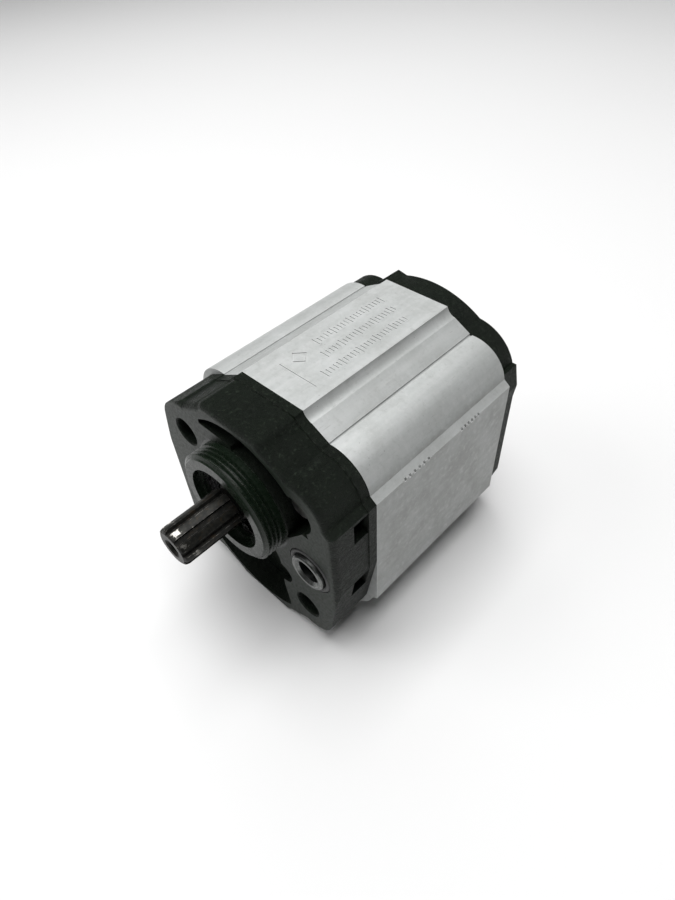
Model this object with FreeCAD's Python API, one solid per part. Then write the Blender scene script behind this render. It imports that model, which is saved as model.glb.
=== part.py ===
import FreeCAD, Part
import math
import os

# Hydraulic external gear pump. Millimetres.
# Origin: centre of the mounting face, on the drive shaft's axis.
# -Y points out of the shaft end, +Y along the pump to its rear cover, +Z up.
# The driven gear's axis lies below the drive axis, so the pump's section is centred on z = section_z.

# ---- driving dimensions -------------------------------------------------------------------
# gears
gear_module = 2.0
gear_teeth = 12
pressure_angle = math.radians(25.0)
gear_backlash = 0.12          # tooth thinning at the pitch circle, each gear
gear_width = 19.2
tip_radius = 13.9
root_radius = 9.4
centre_distance = gear_module * gear_teeth
section_z = -centre_distance / 2
flank_steps = 7               # points along one side of a tooth, closer together near its base
flank_spread = 1.5

# cutting tools
past = 1.0                    # how far a cutting tool runs past the face that it cuts
far = 60.0                    # beyond the outside of the pump
flat_tolerance = 1e-6

# lengths along Y
cover_thickness = 16.0
body_length = 60.5
rear_thickness = 15.0
body_front = cover_thickness
body_rear = body_front + body_length
rear_face = body_rear + rear_thickness
end_gap = 0.1                 # between a bearing block and its cover
face_gap = 0.05               # between a gear and a bearing block
block_length = (body_length - gear_width) / 2 - end_gap - face_gap
gear_front = body_front + end_gap + block_length + face_gap
gear_rear = gear_front + gear_width
gear_middle = (gear_front + gear_rear) / 2

# body section, measured from the section's centre
half_width = 36.8
half_height = 40.8            # the flats at the top and bottom end at step_edge
step_edge = (12.0, 40.8)
step_middle = (13.0, 39.1)
step_foot = (15.0, 38.1)
valley = (21.2, 34.7)
valley_radius = 0.45
valley_rise = 0.1
lobe_radius = 12.2
band_start = (34.8, 24.8)
band_end_v = 23.1
bolt_circle = 64.0
bolt_offset = bolt_circle / 2 / math.sqrt(2)

# front cover
lip_thickness = 3.0
cover_inset = 0.3
lip_inset = 0.05
lug_radius = 10.2
cover_edge_radius = 2.0
cast_edge_radius = 2.2        # of the cover's long edges
lug_side_angle = math.radians(172)     # where the rounded lug meets the cover's side and its top
lug_top_angle = math.radians(112)
lug_valley_offset = (0.3, 0.6)
lug_lower_edge = 2.0                   # above the section's centre
recess_depth = 8.0
recess_radius = 26.5
recess_centre = (1.2, -0.6)
recess_screw_radius = 6.4
recess_tip = (-13.5, 20.0)    # the upper pocket's tip starts right of and above this point
recess_side_z = 4.0
recess_flank = [(13.0, -7.0), (19.0, -3.0), (26.3, 5.5), (26.3, 14.0), (10.0, 14.0)]
lower_pocket = [(13.6, -44.0), (12.4, -34.0), (12.4, -20.0), (10.0, -14.0), (-20.0, -14.0),
                (-27.0, -30.0), (-20.0, -38.0), (-8.0, -46.0)]
pocket_bulge = (4.2, 12.4, -26.6)     # radius, x, z
spigot_height = 7.0
spigot_radius = 18.0
spigot_thread_depth = 0.9
spigot_thread_pitch = 1.5
spigot_thread_count = 3
spigot_thread_crest = 0.2
spigot_thread_flank = 0.5     # length along Y of each side of a ridge
spigot_thread_start = 0.2     # from the end of the slope behind the first ridge
spigot_chamfer = 0.5
spigot_root_sink = 0.5        # how far the spigot's root reaches into the pockets' floor
pilot_land = 1.7              # plain stretch of the spigot beside the mounting face
spigot_root_radius = 18.4
spigot_bore_radius = 13.4
side_pocket_depth = 4.0
side_pockets = [(7.6, 2.4, 10.0), (6.8, -24.0, -15.4)]   # front y, lower z and upper z of each
hole_chamfer = 0.4

# shaft seal stack, in the front cover
seal_bore_radius = 12.0
seal_bore_front = -4.5
seal_bore_rear = 7.0
circlip_front = -3.3
circlip_thickness = 1.0
washer_thickness = 1.0
seal_front = -1.0
seal_rear = 6.0
shaft_hole_radius = 6.9
case_wall = 1.0
case_hole_radius = 8.6
lip_gap = 0.05
lip_case_overlap = 0.02       # clear space between the rubber and the case
# the lip's section, as (radius, distance behind the seal's front) or (radius, distance before its rear)
lip_outside = [(8.4, 3.4), (8.0, 2.6), (8.6, 1.6)]
lip_edge = [(0.6, 1.2), (0.0, 1.7), (0.5, 2.6)]           # radius measured from the lip's own radius
lip_inside = [(7.2, 4.6)]
lip_rear = [(7.2, 0.3), (8.2, 0.3), (8.2, 0.9), (8.58, 0.9), (8.58, 1.0), (9.2, 1.0)]
lip_front_inset = 0.3
lip_skin_radius = 9.2
garter_radius = 8.15
garter_wire_radius = 0.45
garter_offset = 0.85
washer_edge_gap = 0.1
washer_hole_radius = 8.2
circlip_groove_radius = seal_bore_radius + 0.7
circlip_radius = seal_bore_radius + 0.65
circlip_inner_radius = 10.9
circlip_eye_radius = 1.75
circlip_eye_hole_radius = 0.8
circlip_eye_circle = 10.1
circlip_eye_angle = 17.0      # degrees each side of the bottom
circlip_gap = 3.4
circlip_gap_top = -8.0

# shafts
shaft_tip = -24.5
spline_rear = -5.5
spline_radius = 6.0
spline_root_radius = 4.95
spline_teeth = 9
spline_start = math.radians(-5.0)      # angle of one tooth's centre
spline_tip_half = math.radians(10.5)
spline_root_half = math.radians(13.0)
spline_flare = 0.8            # the spaces widen outside the teeth, to this share of the tip's angle
tip_rounding = [(1.0, 0.0), (0.3, 0.4), (0.0, 1.3)]        # (below the tooth tips, from the end)
undercut_radius = spline_root_radius + 0.3
undercut = [0.6, 1.6, 2.6]    # behind the spline: start, end, and where the seal land begins
land_end = 0.5                # past the cover's rear face
land_slope = 0.3
centre_hole_radius = 2.5
centre_hole_mouth = 3.1
centre_hole_depth = 9.0
centre_hole_point = 1.4
seal_land_radius = 6.3
journal_radius = 6.5
journal_end_gap = 1.0
journal_chamfer = 0.6
bush_clearance = 0.05
bush_wall = 1.25
bush_length = 18.0
bush_radius = journal_radius + bush_clearance + bush_wall
chamber_radius = tip_radius + 0.05
block_radius = chamber_radius - 0.02
relief_width = 6.0            # of the pocket between the two bush holes
relief_height = 2.4
relief_depth = 1.0

# rear cover. Its outline is measured from the section's centre and repeats at half a turn.
flange_thickness = 9.0
flange_edge_radius = 1.2
flange_side = 34.6
flange_lobe = [(-33.4, 26.2), (-28.3, 32.5), (-20.6, 33.9)]
flange_corner = [(-13.9, 39.9), (-10.5, 39.2)]
flange_crown = [(-10.5, 39.2), (3.0, 40.55), (18.6, 35.2)]
flange_shoulder = [(18.6, 35.2), (26.9, 32.1), (32.2, 24.9)]
flange_ear = [(33.6, 24.9), (35.2, 17.5)]
flange_side_start = 12.5
flange_side_end = -22.0
boss_radius = 20.0
boss_edge_radius = 3.0

# fasteners
screw_radius = 4.0
screw_chamfer = 0.8
screw_hole_radius = 4.2
mounting_hole_radius = 4.5
screw_tip = 2.6
screw_seat = body_rear + 3.5
washer_radius = 7.3
washer_clearance = 0.2
screw_washer_thickness = 1.4
head_radius = 6.5
head_length = 5.0             # a low head
head_chamfer = 0.6
socket_flats = 5.0
socket_depth = 3.3
counterbore_radius = 8.0
dowel_radius = 2.0
dowel_length = 10.0
dowel_end_gap = 0.3
dowel_offset = 34.5           # from the section's centre

# ports
outlet_x = 26.0
outlet_radius = 3.9
passage_radius = 3.5
sleeve_radius = 6.0
sleeve_front = -1.4
sleeve_rear = 6.0
sleeve_chamfer = 0.4
sleeve_mouth = 0.9            # the wider chamfer inside its front end
outlet_groove_radius = 7.9
outlet_groove_depth = 1.6
inlet_thread_radius = 9.3
inlet_thread_length = 16.0
inlet_channel_radius = 6.5
inlet_face_radius = 14.0
inlet_face_depth = 0.8

# stamped marks on the top face, and punched notches along the band
mark_depth = 0.25
mark_stroke = 0.4
tick_long = 3.4               # every fifth tick
tick_short = 2.2
tick_pitch = 1.4
tick_rows = [(-6.0, 38.5, 21), (0.0, 36.0, 22), (6.0, 30.0, 25)]   # x, first y, count
diamond_centre = (-4.5, 30.5)
diamond_size = 4.2
scribe_y = 24.8
scribe_stroke = mark_stroke * 0.6
scribe_x = (-6.5, 8.0)
notch_rows = [(27.5, 2.0, 6), (52.5, 1.6, 6)]                      # first y, spacing, count
notch_size = 0.8
notch_height = 1.7

# static seals
body_seal_inner = 15.6
body_seal_outer = 17.2
body_seal_depth = 1.2
pressure_seal_inner = 9.6
pressure_seal_outer = 11.4
seal_bridge = 2.5
backup_outer = 12.3
pressure_seal_depth = 1.8
passage_seal_inner = 4.6
passage_seal_outer = 6.0


# ---- helpers ------------------------------------------------------------------------------
def vec(x, y, z):
    return FreeCAD.Vector(x, y, z)


ALONG_Y = vec(0, 1, 0)
ALONG_X = vec(1, 0, 0)
ALONG_Z = vec(0, 0, 1)


def disc(radius, y0, y1, x=0.0, z=0.0):
    """A cylinder along Y, from y0 to y1."""
    return Part.makeCylinder(radius, y1 - y0, vec(x, y0, z), ALONG_Y)


def ring(outer, inner, y0, y1, x=0.0, z=0.0):
    return disc(outer, y0, y1, x, z).cut(disc(inner, y0, y1, x, z))


def box(x0, x1, y0, y1, z0, z1):
    return Part.makeBox(x1 - x0, y1 - y0, z1 - z0, vec(x0, y0, z0))


def turned(profile, x=0.0, z=0.0):
    """A solid of revolution about a line along Y. The profile is a list of (radius, y)."""
    corners = [vec(x + r, y, z) for r, y in profile]
    face = Part.Face(Part.makePolygon(corners + corners[:1]))
    return face.revolve(vec(x, 0, z), ALONG_Y, 360)


def fuse(shapes):
    first, *rest = shapes
    return first.multiFuse(rest).removeSplitter() if rest else first


def cut(shape, tools):
    return shape.cut(Part.makeCompound(tools)) if tools else shape


def gear_axes():
    """(x, z) of the drive axis and of the driven axis."""
    return [(0.0, 0.0), (0.0, -centre_distance)]


def corner(sx, sz):
    """(x, z) of a bolt axis: sx and sz are +1 or -1."""
    return sx * bolt_offset, section_z + sz * bolt_offset


MOUNTING_CORNERS = [corner(-1, 1), corner(1, -1)]
SCREW_CORNERS = [corner(1, 1), corner(-1, -1)]
ALL_CORNERS = MOUNTING_CORNERS + SCREW_CORNERS


DOWEL_HEIGHTS = [section_z - dowel_offset, section_z + dowel_offset]


def half_turn(shape):
    """The shape turned half a turn about the section's centre line."""
    turned_shape = shape.copy()
    turned_shape.rotate(vec(0, 0, section_z), ALONG_Y, 180)
    return turned_shape


def bolt_holes(y0, y1):
    """The four long holes: two for mounting bolts and two, closer fitting, for the assembly screws."""
    mounting = [disc(mounting_hole_radius, y0, y1, x, z) for x, z in MOUNTING_CORNERS]
    return mounting + [disc(screw_hole_radius, y0, y1, x, z) for x, z in SCREW_CORNERS]


# ---- outer section ------------------------------------------------------------------------
def section_prism(y0, y1, inset=0.0):
    """The pump's outer section from y0 to y1, shrunk by inset, without its long grooves."""
    half_w = half_width - inset
    radius = lobe_radius - inset
    centre_u = bolt_offset
    crest_angle = math.atan2(valley[1] - centre_u, valley[0] - centre_u)
    band_angle = math.atan2(band_start[1] - centre_u, band_start[0] - centre_u)
    middle_angle = (crest_angle + band_angle) / 2

    def on_lobe(angle):
        return centre_u + radius * math.cos(angle), centre_u + radius * math.sin(angle)

    quadrant = [
        (step_edge[0] - inset / 2, step_edge[1] - inset),
        (step_middle[0] - inset / 2, step_middle[1] - inset),
        (step_foot[0] - inset / 2, step_foot[1] - inset),
        on_lobe(crest_angle),
        on_lobe(middle_angle),
        on_lobe(band_angle),
        (half_w, band_end_v - inset / 2),
    ]
    edges = []
    previous = None
    first = None
    for su, sv in ((1, 1), (1, -1), (-1, -1), (-1, 1)):
        points = [vec(su * u, y0, section_z + sv * v) for u, v in quadrant]
        if su * sv < 0:
            points.reverse()
            side, band, middle, crest, foot, step, flat = points
            run = [
                Part.LineSegment(side, band),
                Part.Arc(band, middle, crest),
                Part.LineSegment(crest, foot),
                Part.Arc(foot, step, flat),
            ]
        else:
            flat, step, foot, crest, middle, band, side = points
            run = [
                Part.Arc(flat, step, foot),
                Part.LineSegment(foot, crest),
                Part.Arc(crest, middle, band),
                Part.LineSegment(band, side),
            ]
        if previous is not None:
            edges.append(Part.LineSegment(previous, points[0]).toShape())
        else:
            first = points[0]
        edges += [piece.toShape() for piece in run]
        previous = points[-1]
    edges.append(Part.LineSegment(previous, first).toShape())
    face = Part.Face(Part.Wire(edges))
    return face.extrude(vec(0, y1 - y0, 0))


def long_grooves(y0, y1):
    """The fine grooves that run the length of the section beside its lobes."""
    tools = []
    for su in (1, -1):
        for sv in (1, -1):
            z = section_z + sv * (valley[1] + valley_rise)
            tools.append(disc(valley_radius, y0, y1, su * valley[0], z))
    return tools


# ---- gears and shafts ---------------------------------------------------------------------
def involute(angle):
    return math.tan(angle) - angle


def polar(radius, angle, y, x, z):
    return vec(x + radius * math.cos(angle), y, z + radius * math.sin(angle))


def gear_solid(x, z, tooth_angle):
    """A spur gear between the bearing blocks, with a tooth centred at tooth_angle."""
    pitch_radius = gear_module * gear_teeth / 2
    base_radius = pitch_radius * math.cos(pressure_angle)
    half_pitch_angle = math.pi / (2 * gear_teeth) - gear_backlash / 2 / pitch_radius

    def half_angle(radius):
        local = math.acos(min(1.0, base_radius / radius))
        return half_pitch_angle + involute(pressure_angle) - involute(local)

    rise_height = tip_radius - base_radius
    flank = [base_radius + rise_height * (i / flank_steps) ** flank_spread for i in range(flank_steps + 1)]
    root_half = half_angle(base_radius)
    pitch = 2 * math.pi / gear_teeth
    edges = []
    for tooth in range(gear_teeth):
        middle = tooth_angle + tooth * pitch
        rising = [polar(r, middle - half_angle(r), gear_front, x, z) for r in flank]
        falling = [polar(r, middle + half_angle(r), gear_front, x, z) for r in reversed(flank)]
        root_in = polar(root_radius, middle - root_half, gear_front, x, z)
        root_out = polar(root_radius, middle + root_half, gear_front, x, z)
        root_mid = polar(root_radius, middle + pitch / 2, gear_front, x, z)
        root_next = polar(root_radius, middle + pitch - root_half, gear_front, x, z)
        tip_mid = polar(tip_radius, middle, gear_front, x, z)
        rise = Part.BSplineCurve()
        rise.interpolate(rising)
        fall = Part.BSplineCurve()
        fall.interpolate(falling)
        edges += [
            Part.LineSegment(root_in, rising[0]).toShape(),
            rise.toShape(),
            Part.Arc(rising[-1], tip_mid, falling[0]).toShape(),
            fall.toShape(),
            Part.LineSegment(falling[-1], root_out).toShape(),
            Part.Arc(root_out, root_mid, root_next).toShape(),
        ]
    return Part.Face(Part.Wire(edges)).extrude(vec(0, gear_width, 0))


def spline_grooves():
    """The spaces between the teeth at the drive shaft's end."""
    pitch = 2 * math.pi / spline_teeth
    outside = spline_radius + past
    flare_half = spline_tip_half * spline_flare
    y = shaft_tip - past
    tools = []
    for tooth in range(spline_teeth):
        start = spline_start + tooth * pitch
        end = start + pitch
        loop = [
            polar(outside, start + flare_half, y, 0, 0),
            polar(spline_radius, start + spline_tip_half, y, 0, 0),
            polar(spline_root_radius, start + spline_root_half, y, 0, 0),
            polar(spline_root_radius, end - spline_root_half, y, 0, 0),
            polar(spline_radius, end - spline_tip_half, y, 0, 0),
            polar(outside, end - flare_half, y, 0, 0),
        ]
        face = Part.Face(Part.makePolygon(loop + loop[:1]))
        tools.append(face.extrude(vec(0, spline_rear - y, 0)))
    return tools


def drive_gear_shaft():
    rear = body_rear - journal_end_gap
    hole_end = shaft_tip + centre_hole_depth
    shaft = turned([
        (0, hole_end + centre_hole_point),
        (centre_hole_radius, hole_end),
        (centre_hole_radius, shaft_tip + centre_hole_mouth - centre_hole_radius),
        (centre_hole_mouth, shaft_tip),
        *[(spline_radius - below, shaft_tip + back) for below, back in tip_rounding],
        (spline_radius, spline_rear),
        (undercut_radius, spline_rear + undercut[0]),
        (undercut_radius, spline_rear + undercut[1]),
        (seal_land_radius, spline_rear + undercut[2]),
        (seal_land_radius, body_front + land_end),
        (journal_radius, body_front + land_end + land_slope),
        (journal_radius, rear - journal_chamfer),
        (journal_radius - journal_chamfer, rear),
        (0, rear),
    ])
    shaft = cut(shaft, spline_grooves())
    return fuse([shaft, gear_solid(0, 0, -math.pi / 2)])


def driven_gear_shaft():
    front = body_front + journal_end_gap
    rear = body_rear - journal_end_gap
    shaft = turned([
        (0, front),
        (journal_radius - journal_chamfer, front),
        (journal_radius, front + journal_chamfer),
        (journal_radius, rear - journal_chamfer),
        (journal_radius - journal_chamfer, rear),
        (0, rear),
    ], 0, -centre_distance)
    half_pitch = math.pi / gear_teeth
    return fuse([shaft, gear_solid(0, -centre_distance, math.pi / 2 + half_pitch)])


# ---- bearings and seals -------------------------------------------------------------------
def both_axes(radius, y0, y1):
    """Two parallel cylinders, one on each gear axis, joined."""
    return fuse([disc(radius, y0, y1, x, z) for x, z in gear_axes()])


def outlet_side(y0, y1):
    """The space on the outlet side of the plane through both gear axes."""
    return box(0, far, y0, y1, -far, far)


def three_shape(outer, inner, y0, y1):
    """A 3-shaped strip on the outlet side of both bearing holes."""
    rings = [ring(outer, inner, y0, y1, x, z) for x, z in gear_axes()]
    bridge = box(0, seal_bridge, y0, y1, inner - centre_distance, -inner)
    return fuse([piece.common(outlet_side(y0, y1)) for piece in rings] + [bridge])


def pressure_seal(y0):
    return three_shape(pressure_seal_outer, pressure_seal_inner, y0, y0 + pressure_seal_depth)


def backup_ring(y0):
    y1 = y0 + pressure_seal_depth
    rings = [ring(backup_outer, pressure_seal_outer, y0, y1, x, z) for x, z in gear_axes()]
    whole = fuse([piece.common(outlet_side(y0, y1)) for piece in rings])
    return whole.cut(pressure_seal(y0)).cut(both_axes(pressure_seal_outer, y0, y1))


def bearing_block(y0, outer_face_y, seal_y):
    """A figure-eight block with two bush holes and a seal groove in its outer face."""
    y1 = y0 + block_length
    block = both_axes(block_radius, y0, y1)
    holes = [disc(bush_radius, y0, y1, x, z) for x, z in gear_axes()]
    relief = box(-relief_width / 2, relief_width / 2,
                 outer_face_y - relief_depth, outer_face_y + relief_depth,
                 section_z - relief_height / 2, section_z + relief_height / 2)
    return cut(block, holes + [pressure_seal(seal_y), backup_ring(seal_y), relief])


def bush(y0, x, z):
    return ring(bush_radius, journal_radius + bush_clearance, y0, y0 + bush_length, x, z)


def race_track(radius, y0, y1):
    """Two round ends on the gear axes with straight sides between them."""
    middle = box(-radius, radius, y0, y1, -centre_distance, 0)
    return fuse([disc(radius, y0, y1, x, z) for x, z in gear_axes()] + [middle])


def body_seal(y0):
    y1 = y0 + body_seal_depth
    return race_track(body_seal_outer, y0, y1).cut(race_track(body_seal_inner, y0, y1))


def passage_seal():
    return ring(passage_seal_outer, passage_seal_inner, body_front, body_front + body_seal_depth,
                outlet_x, section_z)


def shaft_seal_case():
    """The pressed steel case of the shaft seal."""
    return turned([
        (seal_bore_radius, seal_front),
        (seal_bore_radius, seal_rear),
        (case_hole_radius, seal_rear),
        (case_hole_radius, seal_rear - case_wall),
        (seal_bore_radius - case_wall, seal_rear - case_wall),
        (seal_bore_radius - case_wall, seal_front),
    ])


def shaft_seal_lip():
    """The rubber lip, moulded into the case. It clears the shaft's seal land by a hair."""
    lip = seal_land_radius + lip_gap
    skin = seal_bore_radius - case_wall - lip_case_overlap
    back = seal_rear - case_wall - lip_case_overlap
    profile = [(skin, seal_front + lip_front_inset), (skin, back), (lip_outside[0][0], back)]
    profile += [(radius, seal_front + behind) for radius, behind in lip_outside]
    profile += [(lip + above, seal_front + behind) for above, behind in lip_edge]
    profile += [(radius, seal_front + behind) for radius, behind in lip_inside]
    profile += [(radius, seal_rear - before) for radius, before in lip_rear]
    profile += [(lip_skin_radius, seal_front + lip_front_inset)]
    return turned(profile)


def garter_spring():
    """The closed coil spring that holds the lip to the shaft, as its outer ring."""
    return Part.makeTorus(garter_radius, garter_wire_radius, vec(0, seal_front + garter_offset, 0), ALONG_Y)


def seal_washer():
    y0 = circlip_front + circlip_thickness
    return ring(seal_bore_radius - washer_edge_gap, washer_hole_radius, y0, y0 + washer_thickness)


def seal_circlip():
    """An internal retaining ring with a gap at the bottom and an eye at each end."""
    y0 = circlip_front
    y1 = y0 + circlip_thickness
    eye_centres = []
    for degrees in (-90 - circlip_eye_angle, -90 + circlip_eye_angle):
        angle = math.radians(degrees)
        eye_centres.append((circlip_eye_circle * math.cos(angle), circlip_eye_circle * math.sin(angle)))
    eyes = [disc(circlip_eye_radius, y0, y1, x, z) for x, z in eye_centres]
    holes = [disc(circlip_eye_hole_radius, y0, y1, x, z) for x, z in eye_centres]
    clip = fuse([ring(circlip_radius, circlip_inner_radius, y0, y1)] + eyes)
    gap = box(-circlip_gap / 2, circlip_gap / 2, y0, y1, -circlip_radius - past, circlip_gap_top)
    return cut(clip, [gap] + holes)


# ---- housing ------------------------------------------------------------------------------
def prism(corners, y0, y1):
    """A solid from y0 to y1 over a list of (x, z) corners."""
    loop = [vec(x, y0, z) for x, z in corners + corners[:1]]
    return Part.Face(Part.makePolygon(loop)).extrude(vec(0, y1 - y0, 0))


def recess_tool():
    """The cast pocket round the spigot's upper side, which ends at an assembly screw."""
    y0 = -past
    y1 = recess_depth
    whole = disc(recess_radius, y0, y1, *recess_centre)
    tip = box(recess_tip[0], far, y0, y1, recess_tip[1], far)
    upper = box(0.0, far, y0, y1, recess_side_z, far)
    side = prism(recess_flank, y0, y1)
    screw_end = disc(recess_screw_radius, y0, y1, *SCREW_CORNERS[0])
    return fuse([whole.common(tip), whole.common(upper), whole.common(side), screw_end])


def lower_pocket_tool():
    """The larger cast pocket below the spigot: the upper one turned half a turn, and opened."""
    radius, x, z = pocket_bulge
    opened = prism(lower_pocket, -past, recess_depth)
    bulge = disc(radius, -past, recess_depth, x, z)
    return fuse([half_turn(recess_tool()), opened, bulge])


def spigot():
    """The threaded pilot, with its root standing on the pockets' floor."""
    root = spigot_radius - spigot_thread_depth
    crest = spigot_thread_flank + spigot_thread_crest
    ridge = crest + spigot_thread_flank
    floor = recess_depth + spigot_root_sink
    slope_end = -pilot_land - spigot_thread_flank
    profile = [
        (shaft_hole_radius, floor),
        (spigot_root_radius, floor),
        (spigot_root_radius, 0.0),
        (spigot_radius, 0.0),
        (spigot_radius, -pilot_land),
        (root, slope_end),
    ]
    for i in range(spigot_thread_count):
        y = slope_end - spigot_thread_start - i * spigot_thread_pitch
        profile += [
            (root, y),
            (spigot_radius, y - spigot_thread_flank),
            (spigot_radius, y - crest),
            (root, y - ridge),
        ]
    profile += [
        (root, -spigot_height + spigot_chamfer),
        (root - spigot_chamfer, -spigot_height),
        (shaft_hole_radius, -spigot_height),
    ]
    return turned(profile)


def lug_corner_tools():
    """What is cut off the two corners with mounting holes, to leave rounded lugs."""
    y0 = -past
    y1 = cover_thickness + past
    x, z = MOUNTING_CORNERS[0]
    valley_x, valley_z = lug_valley_offset
    lower_edge = section_z + lug_lower_edge
    loop = [
        vec(x, y0, z),
        polar(lug_radius, lug_top_angle, y0, x, z),
        vec(-valley[0] + valley_x, y0, section_z + valley[1] + valley_z),
        vec(-valley[0], y0, far),
        vec(-far, y0, far),
        vec(-far, y0, lower_edge),
        vec(-half_width, y0, lower_edge),
        polar(lug_radius, lug_side_angle, y0, x, z),
    ]
    block = Part.Face(Part.makePolygon(loop + loop[:1])).extrude(vec(0, y1 - y0, 0))
    upper_left = block.cut(disc(lug_radius, y0, y1, x, z))
    return [upper_left, half_turn(upper_left)]


def cast_edges(plate):
    """The plate's edges along Y at the steps in its top and bottom, which casting rounds."""
    def is_at_step(edge):
        place = edge.BoundBox
        along_y = max(place.XLength, place.ZLength) < flat_tolerance
        return along_y and abs(place.XMin) < step_foot[0]

    return [edge for edge in plate.Edges if is_at_step(edge)]


def front_cover():
    lip_front = cover_thickness - lip_thickness
    plate = section_prism(0, lip_front, cover_inset)
    plate = plate.makeFillet(cast_edge_radius, cast_edges(plate))
    plate = plate.makeFillet(cover_edge_radius, edges_at(plate, 0))
    cover = fuse([plate, section_prism(lip_front, cover_thickness, lip_inset)])

    cover = cut(cover, lug_corner_tools())
    cover = cut(cover, [recess_tool(), lower_pocket_tool()])
    cover = fuse([cover, spigot()])

    front = -spigot_height - past
    rear = cover_thickness + past
    tools = [
        disc(spigot_bore_radius, front, seal_bore_front),
        disc(seal_bore_radius, front, seal_bore_rear),
        disc(circlip_groove_radius, circlip_front, circlip_front + circlip_thickness),
        disc(shaft_hole_radius, front, rear),
        disc(passage_radius, -past, rear, outlet_x, section_z),
        disc(sleeve_radius, -past, sleeve_rear, outlet_x, section_z),
        disc(outlet_groove_radius, -past, outlet_groove_depth, outlet_x, section_z),
    ]
    for x, z in MOUNTING_CORNERS:
        tools.append(disc(mounting_hole_radius, -past, rear, x, z))
        tools.append(turned([
            (0, -past),
            (mounting_hole_radius + hole_chamfer + past, -past),
            (mounting_hole_radius, hole_chamfer),
            (0, hole_chamfer),
        ], x, z))
    for x, z in SCREW_CORNERS:
        tools.append(disc(screw_radius, 0, rear, x, z))
    for z in DOWEL_HEIGHTS:
        tools.append(disc(dowel_radius, cover_thickness - dowel_length / 2, rear, 0, z))
    side = half_width - side_pocket_depth
    for pocket_front, low, high in side_pockets:
        tools.append(box(side, half_width + past, pocket_front, lip_front, low, high))
    return cut(cover, tools)


def stamp(x, y, size_x, size_y, turn=0.0):
    """A sunk rectangle in the top face, centred at (x, y) and turned about Z."""
    top = section_z + half_height
    tool = box(x - size_x / 2, x + size_x / 2, y - size_y / 2, y + size_y / 2,
               top - mark_depth, top + past)
    tool.rotate(vec(x, y, 0), ALONG_Z, turn)
    return tool


def plain_diamond():
    """An outlined square on its corner."""
    x, y = diamond_centre
    inner = diamond_size - 2 * mark_stroke
    return stamp(x, y, diamond_size, diamond_size, 45).cut(stamp(x, y, inner, inner, 45))


def body_marks():
    """Everything stamped or punched into the body's outside."""
    left, right = scribe_x
    tools = [plain_diamond(), stamp((left + right) / 2, scribe_y, right - left, scribe_stroke)]
    for x, first, count in tick_rows:
        for i in range(count):
            length = tick_short if i % 5 else tick_long
            tools.append(stamp(x, first + i * tick_pitch, length, mark_stroke))
    edge_z = section_z + band_end_v
    reach = notch_size / 2
    rise = notch_height / 2
    for first, spacing, count in notch_rows:
        for i in range(count):
            y = first + i * spacing
            tools.append(box(half_width - reach, half_width + past, y - reach, y + reach,
                             edge_z - rise, edge_z + rise))
    return tools


def suction_bore(radius, depth):
    """A hole from outside the suction side, along X, to this depth."""
    return Part.makeCylinder(radius, depth + past, vec(-half_width - past, gear_middle, section_z), ALONG_X)


def pump_body():
    front = body_front - past
    rear = body_rear + past
    body = section_prism(body_front, body_rear)
    body = cut(body, long_grooves(front, rear))
    body = cut(body, body_marks())
    tools = [both_axes(chamber_radius, front, rear)]
    tools += bolt_holes(front, rear)
    for z in DOWEL_HEIGHTS:
        tools.append(disc(dowel_radius, front, body_front + dowel_length / 2, 0, z))
        tools.append(disc(dowel_radius, body_rear - dowel_length / 2, rear, 0, z))
    tools += [
        body_seal(body_front),
        body_seal(body_rear - body_seal_depth),
        passage_seal(),
        disc(passage_radius, front, gear_middle + passage_radius, outlet_x, section_z),
        Part.makeCylinder(passage_radius, outlet_x, vec(0, gear_middle, section_z), ALONG_X),
        suction_bore(inlet_channel_radius, half_width),
        suction_bore(inlet_thread_radius, inlet_thread_length),
        suction_bore(inlet_face_radius, inlet_face_depth),
    ]
    return cut(body, tools)


def flange_outline(y):
    """The rear cover's outline at y, as a closed wire. Its second half is the first at half a turn."""
    def run(points, sign):
        return [vec(sign * u, y, section_z + sign * v) for u, v in points]

    edges = []
    for sign in (1, -1):
        lobe = run(flange_lobe, sign)
        corner_points = run(flange_corner, sign)
        crown = run(flange_crown, sign)
        shoulder = run(flange_shoulder, sign)
        ear = run(flange_ear, sign)
        start, upper, lower = run([(-flange_side, -flange_side_end), (flange_side, flange_side_start),
                                   (flange_side, flange_side_end)], sign)
        edges += [
            Part.LineSegment(start, lobe[0]),
            Part.Arc(*lobe),
            Part.LineSegment(lobe[2], corner_points[0]),
            Part.LineSegment(*corner_points),
            Part.Arc(*crown),
            Part.Arc(*shoulder),
            Part.LineSegment(shoulder[2], ear[0]),
            Part.LineSegment(*ear),
            Part.LineSegment(ear[1], upper),
            Part.LineSegment(upper, lower),
        ]
    return Part.Wire([edge.toShape() for edge in edges])


def edges_at(shape, y):
    """The edges that lie in the plane at y."""
    def off(edge):
        return max(abs(edge.BoundBox.YMin - y), abs(edge.BoundBox.YMax - y))

    return [edge for edge in shape.Edges if off(edge) < flat_tolerance]


def rear_cover():
    flange_rear = body_rear + flange_thickness
    flange = Part.Face(flange_outline(body_rear)).extrude(vec(0, flange_thickness, 0))
    flange = flange.makeFillet(flange_edge_radius, edges_at(flange, flange_rear))
    boss = race_track(boss_radius, body_rear + past, rear_face)
    boss = boss.makeFillet(boss_edge_radius, edges_at(boss, rear_face))
    tools = bolt_holes(body_rear - past, rear_face + past)
    for x, z in ALL_CORNERS:
        tools.append(disc(counterbore_radius, screw_seat, rear_face + past, x, z))
    for z in DOWEL_HEIGHTS:
        tools.append(disc(dowel_radius, body_rear - past, body_rear + dowel_length / 2, 0, z))
    return cut(fuse([flange, boss]), tools)


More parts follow.
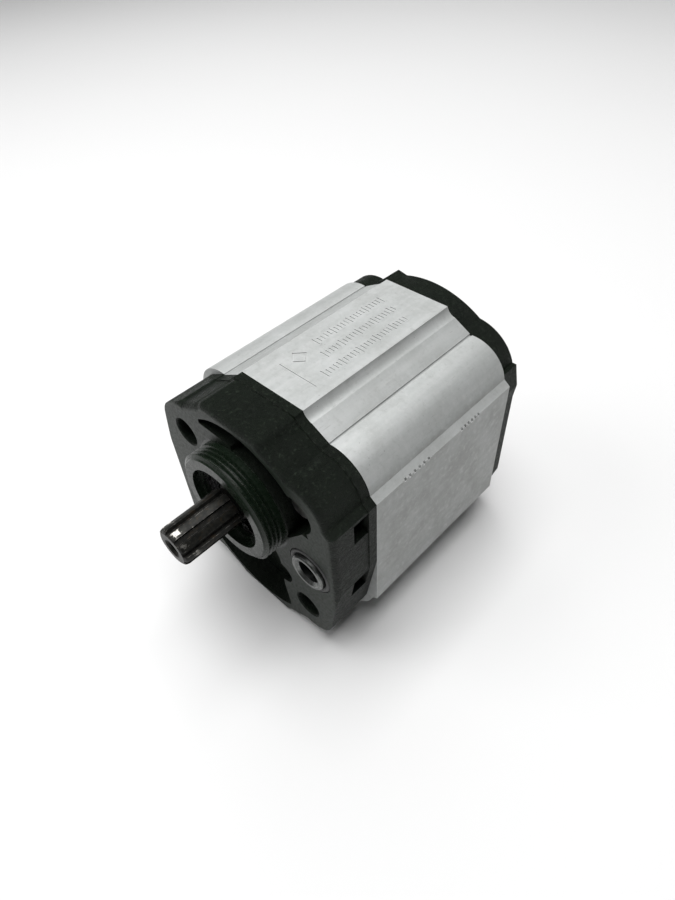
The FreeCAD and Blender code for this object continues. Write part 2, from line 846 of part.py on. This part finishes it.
# ---- fasteners and small parts ------------------------------------------------------------
def hexagon(flats, y0, y1, x, z):
    radius = flats / math.sqrt(3)
    corners = [polar(radius, math.radians(60 * i), y0, x, z) for i in range(7)]
    return Part.Face(Part.makePolygon(corners)).extrude(vec(0, y1 - y0, 0))


def assembly_screw(x, z):
    """A low socket head screw from the rear cover into the front cover."""
    under_head = screw_seat + screw_washer_thickness
    top = under_head + head_length
    screw = turned([
        (0, screw_tip),
        (screw_radius - screw_chamfer, screw_tip),
        (screw_radius, screw_tip + screw_chamfer),
        (screw_radius, under_head),
        (head_radius, under_head),
        (head_radius, top - head_chamfer),
        (head_radius - head_chamfer, top),
        (0, top),
    ], x, z)
    return screw.cut(hexagon(socket_flats, top - socket_depth, top + past, x, z))


def outlet_sleeve():
    return turned([
        (outlet_radius, sleeve_front + sleeve_mouth),
        (outlet_radius + sleeve_mouth, sleeve_front),
        (sleeve_radius - sleeve_chamfer, sleeve_front),
        (sleeve_radius, sleeve_front + sleeve_chamfer),
        (sleeve_radius, sleeve_rear),
        (outlet_radius, sleeve_rear),
    ], outlet_x, section_z)


def outlet_o_ring():
    minor = (outlet_groove_radius - sleeve_radius) / 2
    major = sleeve_radius + minor
    return Part.makeTorus(major, minor, vec(outlet_x, outlet_groove_depth - minor, section_z), ALONG_Y)


def dowels(y_middle):
    half_length = dowel_length / 2 - dowel_end_gap
    return Part.makeCompound([disc(dowel_radius, y_middle - half_length, y_middle + half_length, 0, z)
                              for z in DOWEL_HEIGHTS])


def screw_washers():
    rear = screw_seat + screw_washer_thickness
    return Part.makeCompound([ring(washer_radius, screw_radius + washer_clearance, screw_seat, rear, x, z)
                              for x, z in SCREW_CORNERS])


# ---- parts --------------------------------------------------------------------------------
def all_parts():
    front_seal_y = body_front + end_gap
    rear_seal_y = body_rear - end_gap - pressure_seal_depth
    drive, driven = gear_axes()
    front_bush_y = gear_front - face_gap - bush_length
    rear_bush_y = gear_rear + face_gap
    return {
        "front_cover": front_cover(),
        "pump_body": pump_body(),
        "rear_cover": rear_cover(),
        "drive_gear_shaft": drive_gear_shaft(),
        "driven_gear_shaft": driven_gear_shaft(),
        "front_bearing_block": bearing_block(front_seal_y, front_seal_y, front_seal_y),
        "rear_bearing_block": bearing_block(gear_rear + face_gap, body_rear - end_gap, rear_seal_y),
        "drive_front_bush": bush(front_bush_y, *drive),
        "drive_rear_bush": bush(rear_bush_y, *drive),
        "driven_front_bush": bush(front_bush_y, *driven),
        "driven_rear_bush": bush(rear_bush_y, *driven),
        "front_pressure_seal": pressure_seal(front_seal_y),
        "rear_pressure_seal": pressure_seal(rear_seal_y),
        "front_backup_ring": backup_ring(front_seal_y),
        "rear_backup_ring": backup_ring(rear_seal_y),
        "front_body_seal": body_seal(body_front),
        "rear_body_seal": body_seal(body_rear - body_seal_depth),
        "passage_seal": passage_seal(),
        "shaft_seal_case": shaft_seal_case(),
        "shaft_seal_lip": shaft_seal_lip(),
        "seal_garter_spring": garter_spring(),
        "seal_washer": seal_washer(),
        "seal_circlip": seal_circlip(),
        "assembly_screws": Part.makeCompound([assembly_screw(x, z) for x, z in SCREW_CORNERS]),
        "screw_washers": screw_washers(),
        "front_dowel_pins": dowels(body_front),
        "rear_dowel_pins": dowels(body_rear),
        "outlet_sleeve": outlet_sleeve(),
        "outlet_o_ring": outlet_o_ring(),
    }


os.makedirs("parts", exist_ok=True)
for name, shape in all_parts().items():
    if not shape.isValid():
        print("invalid:", name)
    shape.exportStep("parts/" + name + ".step")
    print(f"{name}: {len(shape.Solids)} solid(s), {shape.Volume / 1000:.2f} cm3")
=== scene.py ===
import math

import bpy
from mathutils import Matrix, Vector


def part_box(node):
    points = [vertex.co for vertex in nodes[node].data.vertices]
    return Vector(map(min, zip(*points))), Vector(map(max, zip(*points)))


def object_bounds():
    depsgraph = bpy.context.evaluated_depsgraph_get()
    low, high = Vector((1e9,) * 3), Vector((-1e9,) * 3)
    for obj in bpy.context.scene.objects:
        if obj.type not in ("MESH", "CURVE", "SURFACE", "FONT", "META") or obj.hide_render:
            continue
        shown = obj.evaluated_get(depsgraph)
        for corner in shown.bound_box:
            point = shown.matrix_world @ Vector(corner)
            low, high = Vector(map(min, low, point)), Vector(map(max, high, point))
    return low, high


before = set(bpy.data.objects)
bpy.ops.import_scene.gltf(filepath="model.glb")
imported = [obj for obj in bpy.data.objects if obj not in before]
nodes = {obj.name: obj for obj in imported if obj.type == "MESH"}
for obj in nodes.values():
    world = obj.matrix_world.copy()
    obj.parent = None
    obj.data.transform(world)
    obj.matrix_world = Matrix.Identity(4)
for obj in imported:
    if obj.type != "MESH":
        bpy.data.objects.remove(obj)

# The hydraulic gear pump's looks: a material for every CAD node, a floor, three lights and a camera.
# Everything is in metres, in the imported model's frame: -Y is the shaft end, +Z is up, +X the plain side.
# The materials work in millimetres.

cad_low, cad_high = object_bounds()
MM = 0.001


# ---- places, all from the frame -------------------------------------------------------------
def centre_of(node):
    low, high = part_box(node)
    return (Vector(low) + Vector(high)) / 2


body_low, body_high = (Vector(corner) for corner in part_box("pump_body"))
section_z = (body_low.z + body_high.z) / 2

# Places that the materials follow, in millimetres. A fade is a pair: where a finish ends, and where
# it is full.
FRONT_FACE_FADE = (0.6, 0.3)                # along Y, just behind the mounting face
SPIGOT_FADE = (0.4, 0.1)                    # along Y, just behind the mounting face
SPIGOT_EDGE_FADE = (19.0, 18.7)             # in radius, just outside the spigot
SCREW_SEAT_FADE = (83.2, 83.0)              # along Y, behind the rear cover's screw seats
TOOTH_CREST_FADE = (5.70, 5.95)             # in radius, at the spline teeth's tops
SHAFT_TIP_FADE = (-18.5, -23.0)             # along Y, towards the shaft's tip
SAW_CENTRE = (55.0, -70.0)                  # X and Z that the saw marks on the body's ends run round
PORT_THREAD_PITCH = 1.814                   # a G 1/2 thread's
PORT_THREAD_OUTER_FADE = (9.5, 9.4)         # in radius, outside the port's wall
PORT_THREAD_INNER_FADE = (9.1, 9.2)         # in radius, inside the port's wall
PORT_THREAD_END_FADE = (-20.0, -21.0)       # along X, at the thread's inner end

# Sockets of the colour mixing node, which share their names with its number sockets.
MIX_FIRST, MIX_SECOND, MIX_RESULT = 6, 7, 2


# ---- node helpers -----------------------------------------------------------------------------
class Shader:
    """A material's node tree, built by short calls. Coordinates are object ones, in millimetres."""

    def __init__(self, name):
        self.material = bpy.data.materials.new(name)
        self.material.use_nodes = True
        self.tree = self.material.node_tree
        self.bsdf = self.tree.nodes["Principled BSDF"]
        coordinates = self.add("ShaderNodeTexCoord")
        scaled = self.add("ShaderNodeVectorMath", operation="SCALE")
        scaled.inputs["Scale"].default_value = 1000.0          # metres to millimetres
        self.link(coordinates.outputs["Object"], scaled.inputs[0])
        self.place = scaled.outputs[0]
        self.geometry = self.add("ShaderNodeNewGeometry")

    def add(self, kind, **settings):
        node = self.tree.nodes.new(kind)
        for key, value in settings.items():
            setattr(node, key, value)
        return node

    def link(self, source, target):
        self.tree.links.new(source, target)

    def feed(self, value, target):
        """Links an output, or sets a plain number or colour."""
        if isinstance(value, bpy.types.NodeSocket):
            self.link(value, target)
        else:
            target.default_value = value

    def stretched(self, scale):
        """The millimetre coordinates, scaled per axis."""
        mapping = self.add("ShaderNodeMapping")
        mapping.inputs["Scale"].default_value = scale
        self.link(self.place, mapping.inputs["Vector"])
        return mapping.outputs[0]

    def noise(self, scale=1.0, detail=4.0, roughness=0.55, stretch=None, distortion=0.0):
        node = self.add("ShaderNodeTexNoise")
        node.inputs["Scale"].default_value = scale
        node.inputs["Detail"].default_value = detail
        node.inputs["Roughness"].default_value = roughness
        node.inputs["Distortion"].default_value = distortion
        self.link(self.stretched(stretch) if stretch else self.place, node.inputs["Vector"])
        return node.outputs["Fac"]

    def voronoi(self, scale):
        """Distance to the nearest of many scattered points."""
        node = self.add("ShaderNodeTexVoronoi", feature="F1")
        node.inputs["Scale"].default_value = scale
        self.link(self.place, node.inputs["Vector"])
        return node.outputs["Distance"]

    def ramp(self, value, low, high, to_low=0.0, to_high=1.0, smooth=True):
        """Maps low..high to to_low..to_high, clamped."""
        node = self.add("ShaderNodeMapRange", interpolation_type="SMOOTHSTEP" if smooth else "LINEAR")
        self.feed(value, node.inputs["Value"])
        for key, number in (("From Min", low), ("From Max", high), ("To Min", to_low), ("To Max", to_high)):
            node.inputs[key].default_value = number
        return node.outputs["Result"]

    def math(self, operation, first, second=0.0):
        node = self.add("ShaderNodeMath", operation=operation)
        for value, target in zip((first, second), node.inputs):
            self.feed(value, target)
        return node.outputs[0]

    def mix(self, factor, first, second):
        """Mixes two colours."""
        node = self.add("ShaderNodeMix", data_type="RGBA")
        self.feed(factor, node.inputs["Factor"])
        for value, target in ((first, node.inputs[MIX_FIRST]), (second, node.inputs[MIX_SECOND])):
            if isinstance(value, tuple):
                value = (*value, 1.0)
            self.feed(value, target)
        return node.outputs[MIX_RESULT]

    def axis(self, letter):
        node = self.add("ShaderNodeSeparateXYZ")
        self.link(self.place, node.inputs[0])
        return node.outputs[letter]

    def normal(self, letter):
        node = self.add("ShaderNodeSeparateXYZ")
        self.link(self.geometry.outputs["Normal"], node.inputs[0])
        return node.outputs[letter]

    def radius(self, x=0.0, z=0.0):
        """Distance in millimetres from a line along Y through (x, z)."""
        dx = self.math("SUBTRACT", self.axis("X"), x)
        dz = self.math("SUBTRACT", self.axis("Z"), z)
        return self.length(dx, dz)

    def length(self, first, second):
        """The length of a two-part offset."""
        squares = self.math("ADD", self.math("MULTIPLY", first, first), self.math("MULTIPLY", second, second))
        return self.math("SQRT", squares)

    def edges(self, width):
        """1 near convex and concave edges, 0 elsewhere. Width is in millimetres."""
        # The dot product of the true and the rounded normal: no edge at all, and a full edge.
        no_edge, full_edge = 0.995, 0.85
        rounded = self.add("ShaderNodeBevel", samples=4)
        rounded.inputs["Radius"].default_value = width * MM
        dot = self.add("ShaderNodeVectorMath", operation="DOT_PRODUCT")
        self.link(rounded.outputs[0], dot.inputs[0])
        self.link(self.geometry.outputs["Normal"], dot.inputs[1])
        return self.ramp(dot.outputs["Value"], no_edge, full_edge)

    def bump(self, height, distance, strength=1.0, under=None):
        """A bump whose full height is distance millimetres. Bumps stack through under."""
        node = self.add("ShaderNodeBump")
        node.inputs["Strength"].default_value = strength
        node.inputs["Distance"].default_value = distance * MM
        self.feed(height, node.inputs["Height"])
        if under is not None:
            self.link(under, node.inputs["Normal"])
        return node.outputs[0]

    def finish(self, **sockets):
        names = {
            "color": "Base Color", "metallic": "Metallic", "roughness": "Roughness", "normal": "Normal",
            "specular": "Specular IOR Level",
        }
        for key, value in sockets.items():
            if isinstance(value, tuple):
                value = (*value, 1.0)
            self.feed(value, self.bsdf.inputs[names[key]])
        return self.material


# ---- materials --------------------------------------------------------------------------------
def extruded_aluminium():
    """Satin extrusion: fine lines along Y, pits, handling marks, sawn end faces and the port's thread. The
    side faces also get painted shade.
    """
    s = Shader("extruded_aluminium")
    fine = s.noise(1.0, 3.0, 0.6, stretch=(6.0, 0.06, 6.0))
    broad = s.noise(1.0, 2.0, 0.5, stretch=(0.35, 0.012, 0.35))
    cloud = s.noise(0.085, 5.0, 0.66)
    mottle = s.noise(0.55, 5.0, 0.68)
    grain = s.noise(5.0, 3.0, 0.65)
    scratch = s.noise(1.0, 1.0, 0.4, stretch=(7.0, 0.30, 7.0), distortion=0.5)
    scratches = s.ramp(scratch, 0.70, 0.75)
    cross = s.noise(1.0, 1.0, 0.4, stretch=(0.5, 6.0, 6.0), distortion=0.8)
    crossed = s.ramp(cross, 0.74, 0.78)
    pits = s.ramp(s.voronoi(0.55), 0.10, 0.04)
    pits = s.math("MULTIPLY", pits, s.ramp(s.noise(0.12, 2.0, 0.5), 0.55, 0.62))
    end_face = s.ramp(s.math("ABSOLUTE", s.normal("Y")), 0.9, 0.95)
    cutter = s.math("SINE", s.math("MULTIPLY", s.radius(*SAW_CENTRE), 9.0))
    edge = s.edges(0.35)
    # the side faces, which take painted shade below
    side = s.ramp(s.math("ABSOLUTE", s.normal("X")), 0.90, 0.99)

    dull = (0.405, 0.420, 0.413)
    clean = (0.465, 0.478, 0.472)
    drawn_line = (0.50, 0.51, 0.505)
    # a grey for both real stains and the painted shade laid on the side faces
    stain_and_shade = (0.285, 0.292, 0.278)
    wiped = (0.52, 0.53, 0.535)
    # painted shade: a dark grey laid on the side faces
    painted_side_shade = (0.20, 0.205, 0.195)
    light_mottle = (0.52, 0.525, 0.52)
    dark_mottle = (0.28, 0.285, 0.275)
    dark_scratch = (0.24, 0.24, 0.235)
    bright_scratch = (0.60, 0.60, 0.59)
    pit = (0.09, 0.09, 0.085)
    worn_edge = (0.70, 0.705, 0.70)

    tone = s.mix(s.ramp(broad, 0.3, 0.7), dull, clean)
    tone = s.mix(s.ramp(fine, 0.40, 0.75, 0.0, 0.30), tone, drawn_line)
    # stains from cloud noise, laid on more strongly on the side faces; that extra darkening of the sides is
    # painted shade
    stain_and_side_shade = s.math("MULTIPLY", s.ramp(cloud, 0.42, 0.66), s.ramp(side, 0.0, 1.0, 0.26, 0.62, smooth=False))
    tone = s.mix(stain_and_side_shade, tone, stain_and_shade)
    tone = s.mix(s.ramp(cloud, 0.44, 0.30, 0.0, 0.35), tone, wiped)
    # painted shade: the side faces are darkened in colour
    tone = s.mix(s.math("MULTIPLY", side, 0.38), tone, painted_side_shade)
    tone = s.mix(s.ramp(mottle, 0.52, 0.72, 0.0, 0.40), tone, light_mottle)
    tone = s.mix(s.ramp(mottle, 0.47, 0.30, 0.0, 0.32), tone, dark_mottle)
    tone = s.mix(s.math("MULTIPLY", scratches, 0.45), tone, dark_scratch)
    tone = s.mix(s.math("MULTIPLY", crossed, 0.40), tone, bright_scratch)
    tone = s.mix(s.math("MULTIPLY", pits, 0.75), tone, pit)
    tone = s.mix(s.math("MULTIPLY", edge, 0.45), tone, worn_edge)
    rough = s.ramp(fine, 0.2, 0.8, 0.40, 0.56)
    rough = s.math("ADD", rough, s.ramp(mottle, 0.35, 0.7, 0.06, -0.05))
    height = s.math("MULTIPLY", fine, s.math("SUBTRACT", 1.0, end_face))
    height = s.math("ADD", height, s.math("MULTIPLY", s.math("MULTIPLY", cutter, 0.4), end_face))
    normal = s.bump(height, 0.02, 0.5)
    normal = s.bump(s.math("ADD", mottle, s.math("MULTIPLY", grain, 0.5)), 0.035, 0.5, normal)
    dents = s.math("ADD", s.math("ADD", scratches, crossed), pits)
    normal = s.bump(s.math("SUBTRACT", 1.0, dents), 0.03, 0.5, normal)
    normal = s.bump(port_thread(s), 0.9, 0.9, normal)
    return s.finish(color=tone, metallic=0.25, roughness=rough, normal=normal)


def port_thread(s):
    """The suction port's thread, as height: a wave along X on the wall of its bore."""
    low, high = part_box("pump_body")
    middle = (low[1] + high[1]) / 2 / MM
    dy = s.math("SUBTRACT", s.axis("Y"), middle)
    dz = s.math("SUBTRACT", s.axis("Z"), section_z / MM)
    from_axis = s.length(dy, dz)
    outer = s.ramp(from_axis, *PORT_THREAD_OUTER_FADE)
    inner = s.ramp(from_axis, *PORT_THREAD_INNER_FADE)
    on_wall = s.math("MULTIPLY", outer, inner)
    outside = s.ramp(s.axis("X"), *PORT_THREAD_END_FADE)
    wave = s.math("SINE", s.math("MULTIPLY", s.axis("X"), 2 * math.pi / PORT_THREAD_PITCH))
    return s.math("MULTIPLY", s.math("MULTIPLY", wave, 0.5), s.math("MULTIPLY", on_wall, outside))


def painted_casting(name, face_is_machined):
    """Black paint over a sand-cast skin, smoother where the casting was machined before it was painted.

    That is the mounting face and the spigot on the front cover, and the screw seats on the rear cover.
    """
    s = Shader(name)
    lumps = s.noise(0.35, 3.0, 0.6)
    sand = s.noise(0.95, 6.0, 0.78)
    pores = s.voronoi(1.1)
    cloud = s.noise(0.06, 3.0, 0.6)
    fine = s.noise(5.0, 3.0, 0.6)
    edge = s.edges(0.5)
    if face_is_machined:
        flat = s.ramp(s.normal("Y"), -0.93, -0.98)
        face = s.math("MULTIPLY", flat, s.ramp(s.axis("Y"), *FRONT_FACE_FADE))
        within = s.ramp(s.radius(), *SPIGOT_EDGE_FADE)
        spigot = s.math("MULTIPLY", within, s.ramp(s.axis("Y"), *SPIGOT_FADE))
        smooth = s.math("MAXIMUM", face, spigot)
        rings = s.math("SINE", s.math("MULTIPLY", s.radius(), 11.0))
    else:
        back = s.ramp(s.normal("Y"), 0.97, 0.99)
        smooth = s.math("MULTIPLY", back, s.ramp(s.axis("Y"), *SCREW_SEAT_FADE))
        spigot = 0.0                        # the rear cover has none
        rings = s.math("SINE", s.math("MULTIPLY", s.axis("X"), 11.0))
    cast = s.math("SUBTRACT", 1.0, smooth)

    deep_black = (0.0022, 0.0045, 0.0022)
    thin_black = (0.0042, 0.0078, 0.0040)
    speckle = (0.024, 0.033, 0.023)
    machined = (0.0082, 0.0145, 0.0085)
    dusty = (0.022, 0.026, 0.022)
    chipped = (0.085, 0.09, 0.08)

    paint = s.mix(s.ramp(cloud, 0.3, 0.7), deep_black, thin_black)
    paint = s.mix(s.math("MULTIPLY", s.ramp(sand, 0.53, 0.66), cast), paint, speckle)
    paint = s.mix(s.math("MULTIPLY", smooth, 0.75), paint, machined)
    dust = s.math("MULTIPLY", s.ramp(s.noise(0.16, 5.0, 0.7), 0.58, 0.78), 0.30)
    paint = s.mix(dust, paint, dusty)
    chips = s.math("MULTIPLY", edge, s.ramp(s.noise(0.8, 4.0, 0.65), 0.50, 0.68))
    paint = s.mix(s.math("MULTIPLY", chips, 0.45), paint, chipped)
    rough = s.ramp(sand, 0.3, 0.75, 0.36, 0.62)
    rough = s.math("SUBTRACT", rough, s.math("MULTIPLY", smooth, 0.08))
    rough = s.math("SUBTRACT", rough, s.math("MULTIPLY", spigot, 0.14))
    rough = s.math("ADD", rough, s.math("MULTIPLY", s.ramp(fine, 0.3, 0.7), 0.05))
    skin = s.math("ADD", s.math("MULTIPLY", lumps, 0.8), s.math("MULTIPLY", sand, 1.2))
    skin = s.math("ADD", skin, s.math("MULTIPLY", s.ramp(pores, 0.0, 0.35), 0.30))
    normal = s.bump(s.math("MULTIPLY", skin, cast), 0.60, 1.0)
    normal = s.bump(s.math("MULTIPLY", rings, smooth), 0.004, 0.5, normal)
    normal = s.bump(s.math("MULTIPLY", fine, cast), 0.018, 0.35, normal)
    return s.finish(color=paint, metallic=0.0, roughness=rough, normal=normal, specular=0.16)


def shaft_steel():
    """Black, oiled steel with traces of brown oxide. The teeth are rubbed bright near the shaft's tip."""
    s = Shader("shaft_steel")
    lines = s.noise(1.0, 3.0, 0.6, stretch=(5.0, 0.25, 5.0))
    spots = s.noise(0.8, 5.0, 0.65)
    patches = s.noise(0.60, 4.0, 0.6, stretch=(1.0, 0.7, 1.0))
    crest = s.ramp(s.radius(), *TOOTH_CREST_FADE)
    tip = s.ramp(s.axis("Y"), *SHAFT_TIP_FADE)
    rub = s.math("MULTIPLY", crest, s.math("MULTIPLY", tip, s.ramp(patches, 0.53, 0.62)))
    edge = s.math("MULTIPLY", s.edges(0.16), s.ramp(spots, 0.45, 0.62))
    bright = s.math("MAXIMUM", rub, s.math("MULTIPLY", edge, 0.55))

    oiled = (0.010, 0.0105, 0.0095)
    dry = (0.024, 0.0235, 0.0205)
    brown_oxide = (0.040, 0.028, 0.017)
    bare_steel = (0.42, 0.41, 0.38)

    tone = s.mix(s.ramp(spots, 0.35, 0.7), oiled, dry)
    tone = s.mix(s.ramp(patches, 0.55, 0.70, 0.0, 0.6), tone, brown_oxide)
    tone = s.mix(bright, tone, bare_steel)
    rough = s.ramp(lines, 0.25, 0.75, 0.32, 0.48)
    normal = s.bump(lines, 0.015, 0.5)
    normal = s.bump(spots, 0.02, 0.3, normal)
    metallic = s.ramp(bright, 0.1, 0.5, 0.25, 1.0)
    return s.finish(color=tone, metallic=metallic, roughness=rough, normal=normal, specular=0.12)


def machined_metal(name, dark, light, roughness, ring_at=None):
    """Ground metal with stains, bright edges and fine grain, or turned metal with rings round ring_at."""
    worn_edge = (0.6, 0.6, 0.6)
    s = Shader(name)
    spots = s.noise(0.9, 4.0, 0.6)
    grain = s.noise(5.0, 3.0, 0.65)
    tone = s.mix(s.ramp(spots, 0.3, 0.72), dark, light)
    edge = s.math("MULTIPLY", s.edges(0.2), s.ramp(grain, 0.3, 0.6, 0.3, 0.8))
    tone = s.mix(edge, tone, worn_edge)
    rough = s.ramp(spots, 0.25, 0.75, *roughness)
    if ring_at is None:
        normal = s.bump(grain, 0.01, 0.5)
    else:
        rings = s.math("SINE", s.math("MULTIPLY", s.radius(*ring_at), 22.0))
        normal = s.bump(rings, 0.004, 0.5)
        normal = s.bump(grain, 0.008, 0.35, normal)
    return s.finish(color=tone, metallic=1.0, roughness=rough, normal=normal)


def nitrile_rubber():
    """Matt black rubber with a faint bloom."""
    s = Shader("nitrile_rubber")
    bloom = s.noise(0.7, 4.0, 0.6)
    grain = s.noise(7.0, 3.0, 0.7)
    tone = s.mix(s.ramp(bloom, 0.35, 0.75), (0.010, 0.010, 0.010), (0.022, 0.022, 0.021))
    rough = s.ramp(grain, 0.3, 0.7, 0.42, 0.60)
    return s.finish(color=tone, metallic=0.0, roughness=rough, normal=s.bump(grain, 0.015, 0.5))


def backup_plastic():
    """Pale, slightly cloudy plastic."""
    s = Shader("backup_plastic")
    cloud = s.noise(0.5, 3.0, 0.6)
    grain = s.noise(6.0, 3.0, 0.6)
    tone = s.mix(s.ramp(cloud, 0.3, 0.7), (0.58, 0.55, 0.46), (0.70, 0.67, 0.58))
    rough = s.ramp(grain, 0.3, 0.7, 0.42, 0.55)
    return s.finish(color=tone, metallic=0.0, roughness=rough, normal=s.bump(grain, 0.01, 0.4))


def outlet_axis():
    """X and Z of the outlet's axis, in millimetres."""
    middle = centre_of("outlet_sleeve")
    return middle.x / MM, middle.z / MM


def make_materials():
    """Gives each CAD node its material."""
    on_axis = (0.0, 0.0)
    black = painted_casting("black_casting", True)
    rear = painted_casting("black_casting_rear", False)
    steel = shaft_steel()
    bearing = machined_metal(
        "bearing_aluminium", (0.55, 0.55, 0.54), (0.68, 0.68, 0.67), (0.3, 0.45), on_axis)
    bronze = machined_metal(
        "bush_bronze", (0.30, 0.20, 0.10), (0.48, 0.33, 0.17), (0.28, 0.45), on_axis)
    pressed = machined_metal(
        "pressed_steel", (0.030, 0.032, 0.036), (0.060, 0.062, 0.068), (0.16, 0.30), on_axis)
    spring = machined_metal(
        "spring_steel", (0.035, 0.035, 0.037), (0.070, 0.068, 0.066), (0.18, 0.32), on_axis)
    screw = machined_metal(
        "blackened_steel", (0.045, 0.045, 0.045), (0.09, 0.087, 0.08), (0.3, 0.45))
    sleeve = machined_metal(
        "sleeve_steel", (0.10, 0.105, 0.10), (0.18, 0.185, 0.18), (0.26, 0.40), outlet_axis())
    seal = nitrile_rubber()
    backup = backup_plastic()
    table = {
        black: ["front_cover"],
        rear: ["rear_cover"],
        extruded_aluminium(): ["pump_body"],
        steel: ["drive_gear_shaft", "driven_gear_shaft"],
        bearing: ["front_bearing_block", "rear_bearing_block"],
        bronze: ["drive_front_bush", "drive_rear_bush", "driven_front_bush", "driven_rear_bush"],
        pressed: ["shaft_seal_case", "seal_garter_spring", "seal_washer",
                  "front_dowel_pins", "rear_dowel_pins"],
        spring: ["seal_circlip"],
        screw: ["assembly_screws", "screw_washers"],
        sleeve: ["outlet_sleeve"],
        backup: ["front_backup_ring", "rear_backup_ring"],
        seal: ["front_pressure_seal", "rear_pressure_seal", "front_body_seal", "rear_body_seal",
               "passage_seal", "shaft_seal_lip", "outlet_o_ring"],
    }
    for material, names in table.items():
        for name in names:
            slots = nodes[name].data.materials
            slots.clear()
            slots.append(material)


# ---- stage, light and camera --------------------------------------------------------------------
def make_stage():
    """A plain pale floor under the pump."""
    size = 3.0                              # half the floor's width
    gap = 0.0002                            # keeps the floor clear of the pump's lowest faces
    mesh = bpy.data.meshes.new("floor")
    corners = [(-size, -size, 0), (size, -size, 0), (size, size, 0), (-size, size, 0)]
    mesh.from_pydata(corners, [], [(0, 1, 2, 3)])
    floor = bpy.data.objects.new("floor", mesh)
    floor.location.z = cad_low[2] - gap
    bpy.context.collection.objects.link(floor)
    s = Shader("pale_floor")
    cloud = s.noise(0.004, 2.0, 0.5)
    tone = s.mix(cloud, (0.79, 0.79, 0.79), (0.81, 0.81, 0.81))
    floor.data.materials.append(s.finish(color=tone, roughness=0.9))


def add_area(name, location, target, size, power):
    """A square softbox that faces the target, in metres and watts."""
    light = bpy.data.lights.new(name, "AREA")
    light.shape = "RECTANGLE"
    light.size = size
    light.size_y = size
    light.energy = power
    item = bpy.data.objects.new(name, light)
    item.location = location
    direction = Vector(target) - Vector(location)
    item.rotation_euler = direction.to_track_quat("-Z", "Y").to_euler()
    bpy.context.collection.objects.link(item)


def make_lights():
    """A large softbox overhead, with weaker ones behind on the left and in front on the left."""
    world = bpy.data.worlds.new("studio")
    bpy.context.scene.world = world
    world.use_nodes = True
    background = world.node_tree.nodes["Background"]
    background.inputs["Color"].default_value = (1.0, 1.0, 1.0, 1.0)
    background.inputs["Strength"].default_value = 0.06
    target = (0.0, 0.04, -0.01)             # near the middle of the pump
    add_area("top_softbox", (0.0, 0.03, 1.20), target, size=0.9, power=17.5)
    add_area("rear_softbox", (-0.60, 0.56, 0.87), target, size=0.9, power=3.2)
    add_area("front_softbox", (-0.65, -0.65, 0.75), target, size=0.6, power=3.8)
    bpy.context.scene.view_settings.view_transform = "Standard"


def make_camera():
    """Above and to the right of the shaft end, close enough for strong perspective."""
    camera = bpy.data.cameras.new("camera")
    camera.sensor_width = 36.0
    camera.lens = 24.5
    camera.clip_start = 0.005
    item = bpy.data.objects.new("camera", camera)
    azimuth = math.radians(46.69)
    elevation = math.radians(46.41)
    roll = math.radians(-4.04)
    level = math.cos(elevation)
    back = Vector((math.sin(azimuth) * level, -math.cos(azimuth) * level, math.sin(elevation)))
    look_at = Vector((-1.65, 39.89, -14.19)) * MM
    distance = 204.5 * MM
    turn = (-back).to_track_quat("-Z", "Y").to_matrix().to_4x4()
    item.matrix_world = Matrix.Translation(look_at + back * distance) @ turn @ Matrix.Rotation(roll, 4, "Z")
    bpy.context.collection.objects.link(item)
    bpy.context.scene.camera = item


make_camera()
make_stage()
make_lights()
make_materials()
